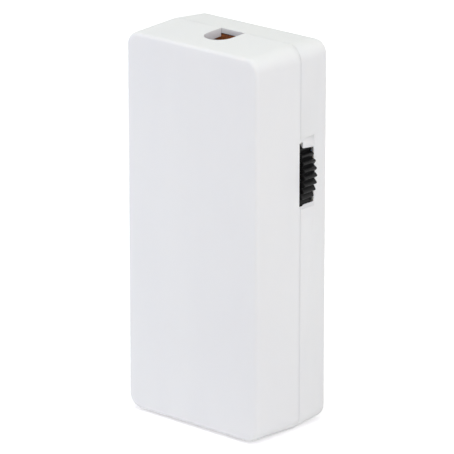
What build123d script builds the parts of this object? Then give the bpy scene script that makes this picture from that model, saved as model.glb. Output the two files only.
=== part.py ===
from build123d import *
import math
import os

# An inline dimmer for a lamp lead: a white moulded case in two drafted halves, a black ribbed
# thumbwheel that comes through a window in its right side, a port for the lead in each end,
# and the dimmer circuit inside. X runs across, Y from front to back, Z along the case.
# The origin is at the bottom end, in the middle of the case's width and depth.

# The case
case_length = 90.0
case_width = 40.0
front_depth = 14.0
cover_depth = 10.0
wall = 2.0
corner_radius = 3.8
front_draft = 2.7
cover_draft = 4.4
front_edge_round = 0.9
back_edge_round = 1.2
inside_corner_radius = 1.8

# The lap joint between the halves
tongue_width = 0.9
tongue_height = 1.2
lap_clearance = 0.1
tongue_end_gap = 0.6

# The ports for the lead
port_width = 7.0
port_depth = 7.9
port_lip = 1.2

# The clamp close behind each port, in a pocket of the cover's end wall
clamp_breadth = 6.8
clamp_thickness = 2.4
clamp_end_gap = 0.3
clamp_corner_radius = 1.2
clamp_post_radius = 2.0
clamp_post_gap = 0.3
saddle_rib = 1.6
clamp_lift = 1.0
saddle_clearance = 0.2
small_screw_radius = 1.25
small_screw_head_radius = 2.2
small_screw_head_height = 1.5
small_screw_reach = 6.0
screw_hole_clearance = 0.15
pilot_clearance = 0.05

# The case screws
case_screw_side_inset = 6.2
case_screw_end_inset = 6.5
case_screw_radius = 1.4
case_screw_head_radius = 2.5
case_screw_head_height = 1.9
case_screw_reach = 8.5
case_boss_radius = 2.7
cover_boss_wall = 0.9
cover_boss_floor = 3.0
counterbore_clearance = 0.3

# The thumbwheel, its window and the finger recess round it
wheel_radius = 12.5
wheel_proud = 1.0
wheel_above_middle = 14.6
wheel_thickness = 4.05
wheel_gap = 0.6
wheel_ribs = 46
rib_start_angle = 0.1
rib_height = 0.85
rib_crest_radius = 0.32
rib_crest_half_angle = 54.0
rib_root_half_width = 0.12
wheel_rim = 3.0
wheel_web = 1.8
wheel_hub_radius = 4.4
window_length = 13.3
window_above_wheel_axis = 0.2
window_draft = 5.6
window_side_gap = 0.25
window_rib_clearance = 0.25
rim_relief_above = 1.3
rim_relief_below = 0.2
rim_relief_depth = 0.3
recess_depth = 0.4
recess_above_window = 2.3
recess_below_window = 0.8
recess_margin = 0.2
running_clearance = 0.05
wheel_screw_reach = 4.0
wheel_neck_gap = 0.6

# The wheel's potentiometer
pot_radius = 8.5
pot_base_thickness = 1.2
pot_cup_height = 6.4
pot_cup_wall = 0.8
pot_roof = 1.0
pot_collar_radius = 4.6
pot_collar_height = 0.9
pot_edge_chamfer = 0.5
shaft_radius = 3.0
shaft_neck_radius = 2.4
shaft_pivot_radius = 1.5
track_inner_radius = 5.5
track_outer_radius = 7.1
track_thickness = 0.15
track_angle = 320.0
carrier_radius = 5.1
carrier_thickness = 2.2
stop_tab_radius = 7.2
wheel_travel_angle = 150.0
stop_tab_angle = 28.0
stop_rest_angle = 2.0
half_turn = 180.0
stop_side_gap = 0.2
stop_lift = 0.3
carrier_roof_gap = 0.6
shaft_shoulder_gap = 0.4
pivot_end_gap = 0.2
wiper_thickness = 0.2
wiper_width = 1.1
wiper_arm_width = 3.0
wiper_tip_length = 0.9
wiper_gap = 0.06
lug_tab_width = 13.0
lug_tab_reach = 11.6
lug_pitch = 5.0
lug_end_inset = 1.3
lug_eyelet_height = 0.3

# The circuit board
board_thickness = 1.6
board_standoff = 1.6
board_edge_clearance = 0.4
board_end_bay = 13.5
board_post_radius = 2.2
board_post_inset = 2.6

# Sides of the round sections that nothing turns in, so that the meshes stay light
hidden_sides = 24
small_sides = 10
leg_sides = 4
arc_step_angle = 15.0

# Legs of the parts on the board
leg_radius = 0.35
leg_hole_clearance = 0.1
leg_below_board = 0.8
seat_gap = 0.3
part_gap = 0.8

# The terminal blocks, one at each end of the board
terminal_width = 12.0
terminal_length = 7.6
terminal_height = 8.6
terminal_inset = 0.4
terminal_wall = 1.0
terminal_edge_chamfer = 0.6
pocket_clearance = 0.1
mouth_clearance = 0.2
cage_width = 4.0
cage_height = 6.0
cage_lift = 1.2
wire_bore_radius = 1.4
terminal_screw_radius = 1.2
terminal_screw_head_radius = 1.7
terminal_screw_head_height = 1.0
terminal_screw_reach = 2.0
cage_pin_radius = 0.5
wire_bore_drop = 0.6

# The triac and its heat sink
sink_thickness = 1.3
sink_length = 23.0
sink_below_wheel_axis = 16.3
sink_top_depth = 8.0
sink_flange = 8.0
sink_wall_gap = 0.5
sink_bend_radius = 1.2
triac_width = 10.2
triac_body_length = 9.2
triac_body_thickness = 4.5
triac_tab_length = 15.6
triac_tab_thickness = 1.3
triac_front_gap = 1.4
triac_above_sink_end = 6.5
triac_lead_pitch = 2.54
triac_lead_run = 1.6
triac_lead_step = 1.7
triac_edge_chamfer = 0.4
triac_hole_from_end = 2.9
triac_screw_radius = 1.45
triac_screw_head_radius = 2.7
triac_screw_head_height = 2.0

# The interference choke
choke_outer_radius = 10.0
choke_inner_radius = 3.4
choke_height = 9.0
choke_wire = 1.2
choke_winding_angle = 320.0
choke_leg_pitch = 6.0
choke_side_gap = 1.0

# The interference capacitor
big_cap_width = 8.4
big_cap_length = 15.5
big_cap_height = 13.4
big_cap_lead_pitch = 12.5
big_cap_gap = 1.6
moulded_edge_bevel = 0.5

# The small parts
small_cap_width = 3.4
small_cap_length = 5.6
small_cap_height = 7.0
small_cap_lead_pitch = 5.0
resistor_radius = 1.15
resistor_length = 5.2
axial_spacing = 2.85
axial_lead_pitch = 7.0
diac_radius = 0.95
diac_length = 3.9

# The fuse
fuse_cap_radius = 2.6
fuse_glass_radius = 2.35
fuse_length = 20.0
fuse_cap_length = 5.6
fuse_lift = 1.2
fuse_gap_to_pot = 1.3
fuse_glass_wall = 0.5
fuse_glass_inset = 1.0
clip_sheet = 0.4
clip_breadth = 5.0
clip_wrap_angle = 250.0
clip_foot_width = 2.4
clip_clearance = 0.05

# Depths from front to back
total_depth = front_depth + cover_depth
front_y = -total_depth / 2
back_y = total_depth / 2
parting_y = front_y + front_depth
floor_y = front_y + wall
board_front_y = floor_y + board_standoff
board_y = board_front_y + board_thickness
wheel_front_y = parting_y + wheel_gap
wheel_back_y = wheel_front_y + wheel_thickness
port_axis_y = parting_y - port_depth + port_width / 2
clamp_front_y = port_axis_y + port_width / 2 + clamp_lift
clamp_back_y = clamp_front_y + clamp_thickness

# Places across the case and along it
half_width = case_width / 2
middle_z = case_length / 2
wheel_x = half_width + wheel_proud - wheel_radius
wheel_z = middle_z + wheel_above_middle
board_length = case_length - 2 * board_end_bay
front_slope = math.tan(math.radians(front_draft))
cover_slope = math.tan(math.radians(cover_draft))


def inner_half_width(y):
    """Half the clear width inside the case at depth y."""
    if y < parting_y:
        return half_width - wall - front_slope * (parting_y - y)
    return half_width - wall - cover_slope * (y - parting_y)


board_half_width = inner_half_width(board_front_y) - board_edge_clearance
board_low_z = middle_z - board_length / 2
board_high_z = middle_z + board_length / 2
sink_back_y = sink_top_depth
sink_x = -inner_half_width(sink_back_y) + sink_wall_gap


def facing_front(y):
    """The drawing plane at depth y whose material grows towards the front."""
    return Plane(origin=(0, y, 0), x_dir=(1, 0, 0), z_dir=(0, -1, 0))


def facing_back(y):
    """The drawing plane at depth y whose material grows towards the back, with x mirrored."""
    return Plane(origin=(0, y, 0), x_dir=(-1, 0, 0), z_dir=(0, 1, 0))


def slab(outline, y_from, y_to):
    """An outline drawn in x and z, carried from depth y_from back to depth y_to."""
    return extrude(facing_front(y_to) * outline, y_to - y_from)


def disc(x, z, radius, y_from, y_to):
    """A round bar along the depth."""
    return slab(Pos(x, z) * Circle(radius), y_from, y_to)


def small_disc(x, z, radius, y_from, y_to, sides=small_sides):
    """A small round bar along the depth, drawn with few sides."""
    return slab(Pos(x, z) * RegularPolygon(radius, sides), y_from, y_to)


def leg(x, z, y_from, y_to, extra=0):
    """A wire leg, or the hole for one where extra is its clearance."""
    return small_disc(x, z, leg_radius + extra, y_from, y_to, leg_sides)


def block(x_from, x_to, y_from, y_to, z_from, z_to):
    """A rectangular piece between the given faces."""
    centre = Pos((x_from + x_to) / 2, (z_from + z_to) / 2)
    return slab(centre * Rectangle(x_to - x_from, z_to - z_from), y_from, y_to)


def post_along_z(x, y, radius, z_from, z_to):
    """A round bar along the case."""
    return Pos(x, y, (z_from + z_to) / 2) * Cylinder(radius, z_to - z_from)


def small_post_along_z(x, y, radius, z_from, z_to):
    """A small round bar along the case, drawn with few sides."""
    base = Plane(origin=(x, y, z_from), x_dir=(1, 0, 0), z_dir=(0, 0, 1))
    return extrude(base * RegularPolygon(radius, small_sides), z_to - z_from)


def bar_along_x(y, z, radius, x_from, x_to):
    """A round bar across the case."""
    base = Plane(origin=(x_from, y, z), x_dir=(0, 1, 0), z_dir=(1, 0, 0))
    return extrude(base * RegularPolygon(radius, small_sides), x_to - x_from)


def sector(inner, outer, middle_angle, span):
    """A ring sector centred on an angle, measured from +X towards +Z, its arcs in even steps."""
    steps = math.ceil(span / arc_step_angle)
    angles = [math.radians(middle_angle + span * (step / steps - 0.5))
              for step in range(steps + 1)]
    points = [(outer * math.cos(angle), outer * math.sin(angle)) for angle in angles]
    points += [(inner * math.cos(angle), inner * math.sin(angle)) for angle in reversed(angles)]
    return make_face(Polyline(*points, close=True))


def save(name, shape):
    """Write one sub-part, which may be a group of separate solids."""
    os.makedirs("parts", exist_ok=True)
    solids = shape if isinstance(shape, list) else [shape]
    found = [solid for piece in solids for solid in piece.solids()]
    shape = found[0] if len(found) == 1 else Compound(children=found)
    shape.label = name
    export_step(shape, "parts/" + name + ".step")


# Places that several sub-parts share

case_screw_x = half_width - case_screw_side_inset
case_screw_zs = (case_screw_end_inset, case_length - case_screw_end_inset)
case_screw_places = [(side * case_screw_x, z) for side in (-1, 1) for z in case_screw_zs]
clamp_post_spread = port_width + 2 * (clamp_post_radius + clamp_post_gap)
clamp_length = clamp_post_spread + 2 * clamp_post_radius
clamp_low_z = port_lip + clamp_end_gap + clamp_breadth / 2
clamp_zs = (clamp_low_z, case_length - clamp_low_z)
pocket_reach = clamp_length / 2 + clamp_end_gap
clamp_screw_places = [(side * clamp_post_spread / 2, z) for side in (-1, 1) for z in clamp_zs]
post_x = board_half_width - board_post_inset
board_screw_places = [(-post_x, board_high_z - board_post_inset),
                      (post_x, board_low_z + board_post_inset)]
sink_low_z = wheel_z - sink_below_wheel_axis
board_rest_places = [(post_x, wheel_z), (-post_x, sink_low_z - board_post_inset)]
window_z = wheel_z + window_above_wheel_axis
window_low = window_z - window_length / 2
window_high = window_z + window_length / 2
window_back_y = wheel_back_y + window_side_gap
rim_relief_low = window_low - rim_relief_below
rim_relief_high = window_high + rim_relief_above


def case_outline(inset, radius):
    """The case's outline at the parting plane, brought in by an inset."""
    shape = RectangleRounded(case_width - 2 * inset, case_length - 2 * inset, radius)
    return Pos(0, middle_z) * shape


def front_shell():
    """The deep half: drafted walls, a tongue round its rim, notches, saddles, bosses and posts."""
    rim = facing_front(parting_y)
    body = extrude(rim * case_outline(0, corner_radius), front_depth, taper=front_draft)
    body = fillet(body.edges().group_by(Axis.Y)[0], front_edge_round)
    hollow = extrude(rim * case_outline(wall, inside_corner_radius), front_depth - wall,
                     taper=front_draft)
    shell = body - hollow
    ring = case_outline(wall - tongue_width, inside_corner_radius + tongue_width)
    ring -= case_outline(wall, inside_corner_radius)
    tongue = slab(ring, parting_y, parting_y + tongue_height)
    tongue_stop = pocket_reach + tongue_end_gap
    for z in (0, case_length):
        tongue -= block(-tongue_stop, tongue_stop, parting_y, back_y, z - 2 * wall, z + 2 * wall)
    recess_low = window_low - recess_below_window - tongue_end_gap
    recess_high = window_high + recess_above_window + tongue_end_gap
    tongue -= block(0, case_width, parting_y, back_y, recess_low, recess_high)
    tongue -= disc(wheel_x, wheel_z, wheel_radius + tongue_end_gap, parting_y, back_y)
    shell += tongue
    shell -= block(half_width - 2 * wall, case_width, parting_y - rim_relief_depth, parting_y,
                   rim_relief_low, rim_relief_high)
    for x, z in case_screw_places:
        shell += small_disc(x, z, case_boss_radius, floor_y, parting_y)
    for x, z in clamp_screw_places:
        shell += small_disc(x, z, clamp_post_radius, floor_y, clamp_front_y)
    for x, z in board_screw_places + board_rest_places:
        shell += small_disc(x, z, board_post_radius, floor_y, board_front_y)
    for z in clamp_zs:
        shell += saddle(z)
    for z in (0, case_length):
        notch = post_along_z(0, port_axis_y, port_width / 2, z - 1.5 * wall, z + 1.5 * wall)
        notch += block(-port_width / 2, port_width / 2, port_axis_y, back_y,
                       z - 1.5 * wall, z + 1.5 * wall)
        shell -= notch
    for x, z in case_screw_places:
        hole = case_screw_radius + pilot_clearance
        shell -= small_disc(x, z, hole, parting_y - case_screw_reach - 1, parting_y + 1)
    for x, z in clamp_screw_places:
        hole = small_screw_radius + pilot_clearance
        shell -= small_disc(x, z, hole, clamp_front_y - small_screw_reach - 1, clamp_front_y + 1)
    for x, z in board_screw_places:
        hole = small_screw_radius + pilot_clearance
        shell -= small_disc(x, z, hole, floor_y, board_front_y + 1)
    return shell


def saddle(z):
    """The cross rib that the lead lies on, grooved to the lead's round, at one clamp."""
    half_rib = saddle_rib / 2
    side = clamp_post_spread / 2
    rib = block(-side, side, floor_y, port_axis_y, z - half_rib, z + half_rib)
    groove = port_width / 2 + saddle_clearance
    return rib - post_along_z(0, port_axis_y, groove, z - 2 * half_rib, z + 2 * half_rib)


def back_cover():
    """The shallow half: rebated rim, clamp pockets, counterbored bosses, recess and window."""
    rim = facing_back(parting_y)
    body = extrude(rim * case_outline(0, corner_radius), cover_depth, taper=cover_draft)
    body = fillet(body.edges().group_by(Axis.Y)[-1], back_edge_round)
    hollow = extrude(rim * case_outline(wall, inside_corner_radius), cover_depth - wall,
                     taper=cover_draft)
    shell = body - hollow
    lap = tongue_width + lap_clearance
    rebate = case_outline(wall - lap, inside_corner_radius + lap)
    pocket = Pos(0, middle_z) * Rectangle(2 * pocket_reach, case_length - 2 * port_lip)
    rebate -= Pos(0, middle_z) * Rectangle(2 * pocket_reach, case_length)
    shell -= slab(rebate, parting_y, parting_y + tongue_height + lap_clearance)
    shell -= slab(pocket, parting_y, clamp_back_y + clamp_end_gap)
    counterbore = case_screw_head_radius + counterbore_clearance
    seat_y = parting_y + cover_boss_floor
    for x, z in case_screw_places:
        shell += small_disc(x, z, counterbore + cover_boss_wall, parting_y, back_y - wall / 2,
                            hidden_sides)
    for x, z in case_screw_places:
        shell -= disc(x, z, counterbore, seat_y, back_y + 1)
        shell -= small_disc(x, z, case_screw_radius + screw_hole_clearance, parting_y - 1,
                            seat_y + 1)
    side = half_width - recess_depth
    shell -= block(side, case_width, parting_y, window_back_y + recess_margin,
                   window_low - recess_below_window, window_high + recess_above_window)
    inner = half_width - 2 * wall
    mouth = Pos(-(case_width + inner) / 2, window_z) * Rectangle(case_width - inner,
                                                                 window_length)
    shell -= extrude(rim * mouth, window_back_y - parting_y, taper=window_draft)
    shell -= block(inner, side, parting_y, parting_y + tongue_height + lap_clearance,
                   rim_relief_low, rim_relief_high)
    shell -= disc(wheel_x, wheel_z, wheel_radius + window_rib_clearance, parting_y - 1,
                  window_back_y)
    return shell


def rib_wheel_outline():
    """The wheel's ribbed outline: rounded crests joined by straight flanks that meet in roots."""
    pitch = 2 * math.pi / wheel_ribs
    crest_centre = wheel_radius - rib_crest_radius
    root_radius = wheel_radius - rib_height
    crest_half = math.radians(rib_crest_half_angle)

    def around(radius, out, along, angle):
        x = (radius + out) * math.cos(angle) - along * math.sin(angle)
        z = (radius + out) * math.sin(angle) + along * math.cos(angle)
        return (x, z)

    points = []
    for index in range(wheel_ribs):
        here = math.radians(rib_start_angle) + index * pitch
        for step in (-1, 0, 1):
            out = rib_crest_radius * math.cos(step * crest_half)
            along = rib_crest_radius * math.sin(step * crest_half)
            points.append(around(crest_centre, out, along, here))
        for step in (-1, 1):
            points.append(around(root_radius, 0, step * rib_root_half_width, here + pitch / 2))
    return make_face(Polyline(*points, close=True))


def thumbwheel():
    """The ribbed wheel with a thin web and a hub on the shaft."""
    place = Pos(wheel_x, wheel_z)
    wheel = slab(place * rib_wheel_outline(), wheel_front_y, wheel_back_y)
    ring = Circle(wheel_radius - wheel_rim) - Circle(wheel_hub_radius)
    wheel -= slab(place * ring, wheel_front_y + wheel_web, wheel_back_y)
    hub_floor = wheel_back_y - small_screw_head_height
    wheel -= small_disc(wheel_x, wheel_z, small_screw_head_radius + screw_hole_clearance,
                        hub_floor, wheel_back_y)
    wheel -= disc(wheel_x, wheel_z, shaft_neck_radius, wheel_front_y, hub_floor - wheel_neck_gap)
    wheel -= small_disc(wheel_x, wheel_z, small_screw_radius, wheel_front_y, hub_floor)
    return wheel


def wheel_screw():
    """The screw that holds the wheel on the shaft's neck."""
    head_y = wheel_back_y - small_screw_head_height
    head = small_disc(wheel_x, wheel_z, small_screw_head_radius, head_y, wheel_back_y)
    return head + small_disc(wheel_x, wheel_z, small_screw_radius, head_y - wheel_screw_reach,
                             head_y)


# Levels of the potentiometer, from the board towards the wheel
pot_base_y = board_y + pot_base_thickness
pot_top_y = pot_base_y + pot_cup_height
collar_y = pot_top_y + pot_collar_height
track_y = pot_base_y + track_thickness
carrier_y = pot_top_y - pot_roof - carrier_roof_gap
carrier_front_y = carrier_y - carrier_thickness
stop_rib_angle = 2 * (half_turn - wheel_travel_angle - stop_rest_angle) - stop_tab_angle


def potentiometer_base():
    """The phenolic wafer on the board, with the tab that its lugs pass through."""
    tab = Pos(0, -lug_tab_reach / 2) * Rectangle(lug_tab_width, lug_tab_reach)
    wafer = RegularPolygon(pot_radius, hidden_sides) + tab
    shape = slab(Pos(wheel_x, wheel_z) * wafer, board_y, pot_base_y)
    pivot = shaft_pivot_radius + running_clearance
    shape -= disc(wheel_x, wheel_z, pivot, board_y, pot_base_y)
    for x, z in lug_places():
        shape -= leg(x, z, board_y, pot_base_y, leg_hole_clearance)
    return shape


def lug_places():
    """The three lugs in a row near the end of the wafer's tab."""
    z = wheel_z - lug_tab_reach + lug_end_inset
    return [(wheel_x + step * lug_pitch, z) for step in (-1, 0, 1)]


def potentiometer_pins():
    """The lugs: a round eyelet on the wafer with a leg through wafer and board."""
    pins = []
    for x, z in lug_places():
        pin = leg(x, z, board_front_y - leg_below_board, pot_base_y)
        eyelet_y = pot_base_y + lug_eyelet_height
        pins.append(pin + leg(x, z, pot_base_y, eyelet_y, leg_radius))
    return pins


def resistive_track():
    """The carbon track, a broad open ring on the wafer, open at the stop."""
    ring = sector(track_inner_radius, track_outer_radius, 90, track_angle)
    return slab(Pos(wheel_x, wheel_z) * ring, pot_base_y, track_y)


def potentiometer_housing():
    """The cup over the track, with the shaft's bearing collar and the stop rib inside."""
    place = Pos(wheel_x, wheel_z)
    cup = small_disc(wheel_x, wheel_z, pot_radius, pot_base_y, pot_top_y, hidden_sides)
    cup = chamfer(cup.edges().group_by(Axis.Y)[-1], pot_edge_chamfer)
    cup -= small_disc(wheel_x, wheel_z, pot_radius - pot_cup_wall, pot_base_y,
                      pot_top_y - pot_roof, hidden_sides)
    cup += small_disc(wheel_x, wheel_z, pot_collar_radius, pot_top_y - pot_roof, collar_y,
                      hidden_sides)
    rib = sector(carrier_radius + stop_side_gap, pot_radius - pot_cup_wall / 2, -90,
                 stop_rib_angle)
    cup += slab(place * rib, carrier_front_y + stop_lift, pot_top_y - pot_roof)
    return cup - disc(wheel_x, wheel_z, shaft_radius + running_clearance, board_y, wheel_back_y)


def potentiometer_shaft():
    """The shaft: a pivot in the wafer, a journal in the collar and a neck in the wheel's hub."""
    screw_seat_y = wheel_back_y - small_screw_head_height
    neck_y = screw_seat_y - wheel_neck_gap
    shoulder_y = pot_base_y + shaft_shoulder_gap
    shaft = disc(wheel_x, wheel_z, shaft_pivot_radius, board_y + pivot_end_gap, shoulder_y)
    shaft += disc(wheel_x, wheel_z, shaft_radius, shoulder_y, wheel_front_y)
    shaft += disc(wheel_x, wheel_z, shaft_neck_radius, wheel_front_y, neck_y)
    hole_end = screw_seat_y - wheel_screw_reach - pivot_end_gap
    return shaft - small_disc(wheel_x, wheel_z, small_screw_radius, hole_end, neck_y)


def wiper_carrier():
    """The disc on the shaft that carries the wiper, with the tab that meets the stop."""
    tab = sector((shaft_radius + carrier_radius) / 2, stop_tab_radius, 90, stop_tab_angle)
    plate = RegularPolygon(carrier_radius, hidden_sides) + tab
    plate -= Circle(shaft_radius)
    return slab(Pos(wheel_x, wheel_z) * plate, carrier_front_y, carrier_y)


def wiper_spring():
    """The spring: a plate under the carrier and a finger that leans to the track."""
    place = Pos(wheel_x, wheel_z)
    plate = RegularPolygon(carrier_radius - seat_gap, hidden_sides)
    plate -= RegularPolygon(shaft_radius + seat_gap, hidden_sides)
    arm_from = (shaft_radius + carrier_radius) / 2
    arm_to = track_outer_radius
    arm = Pos(0, (arm_from + arm_to) / 2) * Rectangle(wiper_arm_width, arm_to - arm_from)
    low_y = carrier_front_y - wiper_thickness
    spring = slab(place * (plate + arm), low_y, carrier_front_y)
    root_x = wheel_x - wiper_arm_width / 2
    bend_x = wheel_x + wiper_arm_width / 2 + seat_gap
    tip_x = bend_x + wiper_tip_length
    tip_y = track_y + wiper_gap
    finger = Polyline((root_x, low_y), (bend_x, tip_y), (tip_x, tip_y),
                      (tip_x, tip_y + wiper_thickness), (bend_x, tip_y + wiper_thickness),
                      (root_x, low_y + wiper_thickness), close=True)
    track_middle = (track_inner_radius + track_outer_radius) / 2
    base = Plane(origin=(0, 0, wheel_z + track_middle - wiper_width / 2), x_dir=(1, 0, 0),
                 z_dir=(0, 0, 1))
    return spring + extrude(base * make_face(finger), wiper_width)


def cord_clamp(z):
    """The fibre bar that grips the lead, drilled for its two screws, with rounded ends."""
    outline = RectangleRounded(clamp_length, clamp_breadth, clamp_corner_radius)
    bar = slab(Pos(0, z) * outline, clamp_front_y, clamp_back_y)
    for side in (-1, 1):
        hole = small_screw_radius + screw_hole_clearance
        bar -= small_disc(side * clamp_post_spread / 2, z, hole, clamp_front_y, clamp_back_y)
    return bar


def screw(x, z, seat_y, radius, head_radius, head_height, reach):
    """A screw that enters from the back and seats at depth seat_y."""
    head = small_disc(x, z, head_radius, seat_y, seat_y + head_height)
    return head + small_disc(x, z, radius, seat_y - reach, seat_y)


def clamp_screws():
    """Two screws in each cord clamp."""
    reach = clamp_thickness + small_screw_reach
    return [screw(x, z, clamp_back_y, small_screw_radius, small_screw_head_radius,
                  small_screw_head_height, reach) for x, z in clamp_screw_places]


def case_screws():
    """The four screws that hold the cover, sunk in its counterbores."""
    reach = cover_boss_floor + case_screw_reach
    return [screw(x, z, parting_y + cover_boss_floor, case_screw_radius,
                  case_screw_head_radius, case_screw_head_height, reach)
            for x, z in case_screw_places]


def board_screws():
    """The two screws in opposite corners of the board."""
    reach = board_thickness + board_standoff
    return [screw(x, z, board_y, small_screw_radius, small_screw_head_radius,
                  small_screw_head_height, reach) for x, z in board_screw_places]


# Places of the parts on the board

terminal_top_z = board_high_z - terminal_inset
terminal_low_z = board_low_z + terminal_inset
terminal_ends = ((terminal_top_z, -1), (terminal_low_z, 1))
terminal_x = -post_x + small_screw_head_radius + seat_gap + terminal_width / 2
pole_offset = (terminal_width - terminal_wall) / 4
sink_high_z = sink_low_z + sink_length
triac_x = sink_x + sink_thickness
triac_low_z = sink_low_z + triac_above_sink_end
triac_mid_y = board_y + triac_front_gap + triac_width / 2
triac_hole_z = triac_low_z + triac_tab_length - triac_hole_from_end
choke_x = inner_half_width(board_y) - choke_side_gap - choke_outer_radius
choke_z = wheel_z - lug_tab_reach - part_gap - choke_outer_radius
choke_y = board_y + seat_gap
big_cap_x = choke_x - choke_outer_radius - big_cap_gap - big_cap_width / 2
big_cap_z = sink_low_z - part_gap - big_cap_length / 2
fuse_x = wheel_x - pot_radius - fuse_gap_to_pot - fuse_cap_radius
fuse_y = board_y + fuse_lift + fuse_cap_radius
fuse_z = terminal_top_z - terminal_length - part_gap - fuse_length / 2
row_x = terminal_x + terminal_width / 2 + part_gap
axial_x = (terminal_x + terminal_width / 2 + post_x - small_screw_head_radius) / 2
resistor_zs = [terminal_low_z + resistor_radius + step * axial_spacing for step in (0, 1)]
diac_z = resistor_zs[-1] + axial_spacing
small_cap_z = terminal_top_z - small_cap_width / 2
small_cap_xs = [row_x + small_cap_length / 2 + step * (small_cap_length + part_gap)
                for step in (0, 1)]
choke_leg_x = choke_x - choke_outer_radius + choke_wire / 2


def axial_leg_places():
    """Where the legs of the resistors and the diac pass through the board."""
    reach = axial_lead_pitch / 2
    return [(axial_x + side * reach, z) for z in resistor_zs + [diac_z] for side in (-1, 1)]


def upright_leg_places():
    """Where the straight legs of the capacitors and the choke pass through the board."""
    reach = small_cap_lead_pitch / 2
    places = [(x + side * reach, small_cap_z) for x in small_cap_xs for side in (-1, 1)]
    reach = big_cap_lead_pitch / 2
    places += [(big_cap_x, big_cap_z + side * reach) for side in (-1, 1)]
    return places + [(choke_leg_x, choke_z + side * choke_leg_pitch / 2) for side in (-1, 1)]


def cage_places():
    """The middle of each terminal cage, with the side that its wire bore faces."""
    places = []
    for end_z, inward in terminal_ends:
        middle = end_z + inward * terminal_length / 2
        places += [(terminal_x + side * pole_offset, middle, inward) for side in (-1, 1)]
    return places


def triac_lead_places():
    """Where the triac's three legs enter the board, stepped apart along the case."""
    x = triac_x + triac_body_thickness / 2
    return [(x, triac_low_z - triac_lead_run - step * triac_lead_step) for step in (0, 1, 2)]


def circuit_board():
    """The board with its holes for legs, pins, screws and lugs."""
    outline = Rectangle(2 * board_half_width, board_length)
    board = slab(Pos(0, middle_z) * outline, board_front_y, board_y)
    legs = axial_leg_places() + upright_leg_places() + lug_places() + triac_lead_places()
    for x, z in legs:
        board -= leg(x, z, board_front_y, board_y, leg_hole_clearance)
    for x, z, inward in cage_places():
        board -= small_disc(x, z, cage_pin_radius + leg_hole_clearance, board_front_y, board_y,
                            leg_sides)
    for x, z in board_screw_places:
        board -= small_disc(x, z, small_screw_radius + screw_hole_clearance, board_front_y,
                            board_y)
    return board


def terminal_block(end_z, inward):
    """A two-pole housing: a pocket for each cage, open above, with a wire mouth in its end."""
    far_z = end_z + inward * terminal_length
    z_from = min(end_z, far_z)
    z_to = max(end_z, far_z)
    half = terminal_width / 2
    top_y = board_y + terminal_height
    body = block(terminal_x - half, terminal_x + half, board_y, top_y, z_from, z_to)
    upper = body.edges().filter_by(Axis.X).group_by(Axis.Y)[-1]
    body = chamfer(upper, terminal_edge_chamfer)
    pocket_half = cage_width / 2 + pocket_clearance
    mouth_y = board_y + cage_lift + cage_height / 2 - wire_bore_drop
    mouth_z = end_z + inward * terminal_wall / 2
    for side in (-1, 1):
        x = terminal_x + side * pole_offset
        body -= block(x - pocket_half, x + pocket_half, board_y + cage_lift, top_y,
                      z_from + terminal_wall, z_to - terminal_wall)
        body -= small_post_along_z(x, mouth_y, wire_bore_radius + mouth_clearance,
                                   mouth_z - terminal_wall, mouth_z + terminal_wall)
        body -= small_disc(x, (z_from + z_to) / 2, cage_pin_radius + leg_hole_clearance,
                           board_y, board_y + cage_lift, leg_sides)
    return body


def terminal_cages(inward_wanted):
    """The two brass cages of one block: a bored bar with its screw hole and a pin."""
    cages = []
    half_x = cage_width / 2
    half_z = terminal_length / 2 - terminal_wall - pocket_clearance
    low_y = board_y + cage_lift
    top_y = low_y + cage_height
    bore_y = low_y + cage_height / 2 - wire_bore_drop
    for x, z, inward in cage_places():
        if inward != inward_wanted:
            continue
        cage = block(x - half_x, x + half_x, low_y, top_y, z - half_z, z + half_z)
        cage -= small_post_along_z(x, bore_y, wire_bore_radius, z - half_z - 1, z + half_z + 1)
        cage -= small_disc(x, z, terminal_screw_radius, bore_y, top_y)
        cage += small_disc(x, z, cage_pin_radius, board_front_y - leg_below_board, low_y,
                           leg_sides)
        cages.append(cage)
    return cages


def terminal_screws():
    """A clamping screw in each cage."""
    seat_y = board_y + cage_lift + cage_height
    return [screw(x, z, seat_y, terminal_screw_radius, terminal_screw_head_radius,
                  terminal_screw_head_height, terminal_screw_reach)
            for x, z, inward in cage_places()]


def heat_sink():
    """The folded aluminium sheet: a wall that carries the triac and a flange over it."""
    sheet = block(sink_x, sink_x + sink_thickness, board_y, sink_back_y, sink_low_z, sink_high_z)
    sheet += block(sink_x, sink_x + sink_flange, sink_back_y - sink_thickness, sink_back_y,
                   sink_low_z, sink_high_z)
    corner = sheet.edges().filter_by(Axis.Z).group_by(Axis.X)[0].group_by(Axis.Y)[-1]
    sheet = fillet(corner, sink_bend_radius)
    return sheet - bar_along_x(triac_mid_y, triac_hole_z, triac_screw_radius, sink_x - 1,
                               triac_x + 1)


def triac_body():
    """The moulded body of the triac, stood off its tab."""
    low_y = triac_mid_y - triac_width / 2
    high_y = triac_mid_y + triac_width / 2
    body = block(triac_x + triac_tab_thickness, triac_x + triac_body_thickness, low_y, high_y,
                 triac_low_z, triac_low_z + triac_body_length)
    return chamfer(body.edges().group_by(Axis.X)[-1], triac_edge_chamfer)


def triac_tab():
    """The metal tab that lies on the heat sink, with its screw hole."""
    low_y = triac_mid_y - triac_width / 2
    high_y = triac_mid_y + triac_width / 2
    tab = block(triac_x, triac_x + triac_tab_thickness, low_y, high_y, triac_low_z,
                triac_low_z + triac_tab_length)
    hole = triac_screw_radius + screw_hole_clearance
    return tab - bar_along_x(triac_mid_y, triac_hole_z, hole, triac_x - 1,
                             triac_x + triac_tab_thickness + 1)


def bent_leg(x_dir, *corners):
    """A wire leg through the given corners, mitred at each one."""
    path = Polyline(*corners)
    ahead = Vector(*corners[1]) - Vector(*corners[0])
    start = Plane(origin=corners[0], x_dir=x_dir, z_dir=ahead)
    return sweep(start * RegularPolygon(leg_radius, leg_sides), path=path,
                 transition=Transition.RIGHT)


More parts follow.
